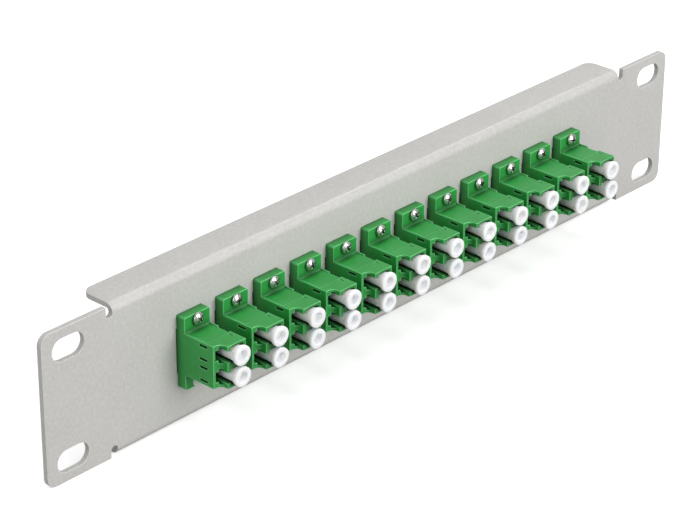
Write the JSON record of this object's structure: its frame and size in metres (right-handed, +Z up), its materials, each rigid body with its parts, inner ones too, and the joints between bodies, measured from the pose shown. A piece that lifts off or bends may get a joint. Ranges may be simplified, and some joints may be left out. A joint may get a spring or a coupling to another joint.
{
  "type": "fibre patch panel",
  "caption": "Folded steel rack panel with a row of flanged duplex fibre adapters and pull-off dust caps in their ports.",
  "frame": {"origin": "middle of the sheet's front face, which is the centre of the four rack slots", "axes": "+X along the panel to the right as seen from the front, -Y out of the front towards the plugs, +Z up"},
  "size_m": [0.254, 0.0332, 0.0436],
  "materials": {
    "powder_coat": "fine textured light grey powder coat",
    "adapter_plastic": "satin green moulded plastic",
    "cap_plastic": "soft white slightly translucent plastic",
    "screw_steel": "bright nickel plate",
    "nut_steel": "nickel plate",
    "sleeve_ceramic": "polished white ceramic"
  },
  "bodies": {
    "panel": {"front_panel": "powder_coat", "adapter_01_front_half": "adapter_plastic", "adapter_02_front_half": "adapter_plastic", "adapter_03_front_half": "adapter_plastic", "adapter_04_front_half": "adapter_plastic", "adapter_05_front_half": "adapter_plastic", "adapter_06_front_half": "adapter_plastic", "adapter_07_front_half": "adapter_plastic", "adapter_08_front_half": "adapter_plastic", "adapter_09_front_half": "adapter_plastic", "adapter_10_front_half": "adapter_plastic", "adapter_11_front_half": "adapter_plastic", "adapter_12_front_half": "adapter_plastic", "adapter_01_rear_half": "adapter_plastic", "adapter_02_rear_half": "adapter_plastic", "adapter_03_rear_half": "adapter_plastic", "adapter_04_rear_half": "adapter_plastic", "adapter_05_rear_half": "adapter_plastic", "adapter_06_rear_half": "adapter_plastic", "adapter_07_rear_half": "adapter_plastic", "adapter_08_rear_half": "adapter_plastic", "adapter_09_rear_half": "adapter_plastic", "adapter_10_rear_half": "adapter_plastic", "adapter_11_rear_half": "adapter_plastic", "adapter_12_rear_half": "adapter_plastic", "rear_dust_caps": "cap_plastic", "ferrule_sleeves": "sleeve_ceramic", "flange_screws": "screw_steel", "flange_nuts": "nut_steel"},
    "cap_01_lower": {"dust_cap_01_lower": "cap_plastic"},
    "cap_01_upper": {"dust_cap_01_upper": "cap_plastic"},
    "cap_02_lower": {"dust_cap_02_lower": "cap_plastic"},
    "cap_02_upper": {"dust_cap_02_upper": "cap_plastic"},
    "cap_03_lower": {"dust_cap_03_lower": "cap_plastic"},
    "cap_03_upper": {"dust_cap_03_upper": "cap_plastic"},
    "cap_04_lower": {"dust_cap_04_lower": "cap_plastic"},
    "cap_04_upper": {"dust_cap_04_upper": "cap_plastic"},
    "cap_05_lower": {"dust_cap_05_lower": "cap_plastic"},
    "cap_05_upper": {"dust_cap_05_upper": "cap_plastic"},
    "cap_06_lower": {"dust_cap_06_lower": "cap_plastic"},
    "cap_06_upper": {"dust_cap_06_upper": "cap_plastic"},
    "cap_07_lower": {"dust_cap_07_lower": "cap_plastic"},
    "cap_07_upper": {"dust_cap_07_upper": "cap_plastic"},
    "cap_08_lower": {"dust_cap_08_lower": "cap_plastic"},
    "cap_08_upper": {"dust_cap_08_upper": "cap_plastic"},
    "cap_09_lower": {"dust_cap_09_lower": "cap_plastic"},
    "cap_09_upper": {"dust_cap_09_upper": "cap_plastic"},
    "cap_10_lower": {"dust_cap_10_lower": "cap_plastic"},
    "cap_10_upper": {"dust_cap_10_upper": "cap_plastic"},
    "cap_11_lower": {"dust_cap_11_lower": "cap_plastic"},
    "cap_11_upper": {"dust_cap_11_upper": "cap_plastic"},
    "cap_12_lower": {"dust_cap_12_lower": "cap_plastic"},
    "cap_12_upper": {"dust_cap_12_upper": "cap_plastic"}
  },
  "joints": [
    {"name": "pull_cap_01_lower", "type": "slide", "parent": "panel", "child": "cap_01_lower", "axis": [0, -1, 0], "range_m": [0, 0.012]},
    {"name": "pull_cap_01_upper", "type": "slide", "parent": "panel", "child": "cap_01_upper", "axis": [0, -1, 0], "range_m": [0, 0.012]},
    {"name": "pull_cap_02_lower", "type": "slide", "parent": "panel", "child": "cap_02_lower", "axis": [0, -1, 0], "range_m": [0, 0.012]},
    {"name": "pull_cap_02_upper", "type": "slide", "parent": "panel", "child": "cap_02_upper", "axis": [0, -1, 0], "range_m": [0, 0.012]},
    {"name": "pull_cap_03_lower", "type": "slide", "parent": "panel", "child": "cap_03_lower", "axis": [0, -1, 0], "range_m": [0, 0.012]},
    {"name": "pull_cap_03_upper", "type": "slide", "parent": "panel", "child": "cap_03_upper", "axis": [0, -1, 0], "range_m": [0, 0.012]},
    {"name": "pull_cap_04_lower", "type": "slide", "parent": "panel", "child": "cap_04_lower", "axis": [0, -1, 0], "range_m": [0, 0.012]},
    {"name": "pull_cap_04_upper", "type": "slide", "parent": "panel", "child": "cap_04_upper", "axis": [0, -1, 0], "range_m": [0, 0.012]},
    {"name": "pull_cap_05_lower", "type": "slide", "parent": "panel", "child": "cap_05_lower", "axis": [0, -1, 0], "range_m": [0, 0.012]},
    {"name": "pull_cap_05_upper", "type": "slide", "parent": "panel", "child": "cap_05_upper", "axis": [0, -1, 0], "range_m": [0, 0.012]},
    {"name": "pull_cap_06_lower", "type": "slide", "parent": "panel", "child": "cap_06_lower", "axis": [0, -1, 0], "range_m": [0, 0.012]},
    {"name": "pull_cap_06_upper", "type": "slide", "parent": "panel", "child": "cap_06_upper", "axis": [0, -1, 0], "range_m": [0, 0.012]},
    {"name": "pull_cap_07_lower", "type": "slide", "parent": "panel", "child": "cap_07_lower", "axis": [0, -1, 0], "range_m": [0, 0.012]},
    {"name": "pull_cap_07_upper", "type": "slide", "parent": "panel", "child": "cap_07_upper", "axis": [0, -1, 0], "range_m": [0, 0.012]},
    {"name": "pull_cap_08_lower", "type": "slide", "parent": "panel", "child": "cap_08_lower", "axis": [0, -1, 0], "range_m": [0, 0.012]},
    {"name": "pull_cap_08_upper", "type": "slide", "parent": "panel", "child": "cap_08_upper", "axis": [0, -1, 0], "range_m": [0, 0.012]},
    {"name": "pull_cap_09_lower", "type": "slide", "parent": "panel", "child": "cap_09_lower", "axis": [0, -1, 0], "range_m": [0, 0.012]},
    {"name": "pull_cap_09_upper", "type": "slide", "parent": "panel", "child": "cap_09_upper", "axis": [0, -1, 0], "range_m": [0, 0.012]},
    {"name": "pull_cap_10_lower", "type": "slide", "parent": "panel", "child": "cap_10_lower", "axis": [0, -1, 0], "range_m": [0, 0.012]},
    {"name": "pull_cap_10_upper", "type": "slide", "parent": "panel", "child": "cap_10_upper", "axis": [0, -1, 0], "range_m": [0, 0.012]},
    {"name": "pull_cap_11_lower", "type": "slide", "parent": "panel", "child": "cap_11_lower", "axis": [0, -1, 0], "range_m": [0, 0.012]},
    {"name": "pull_cap_11_upper", "type": "slide", "parent": "panel", "child": "cap_11_upper", "axis": [0, -1, 0], "range_m": [0, 0.012]},
    {"name": "pull_cap_12_lower", "type": "slide", "parent": "panel", "child": "cap_12_lower", "axis": [0, -1, 0], "range_m": [0, 0.012]},
    {"name": "pull_cap_12_upper", "type": "slide", "parent": "panel", "child": "cap_12_upper", "axis": [0, -1, 0], "range_m": [0, 0.012]}
  ]
}
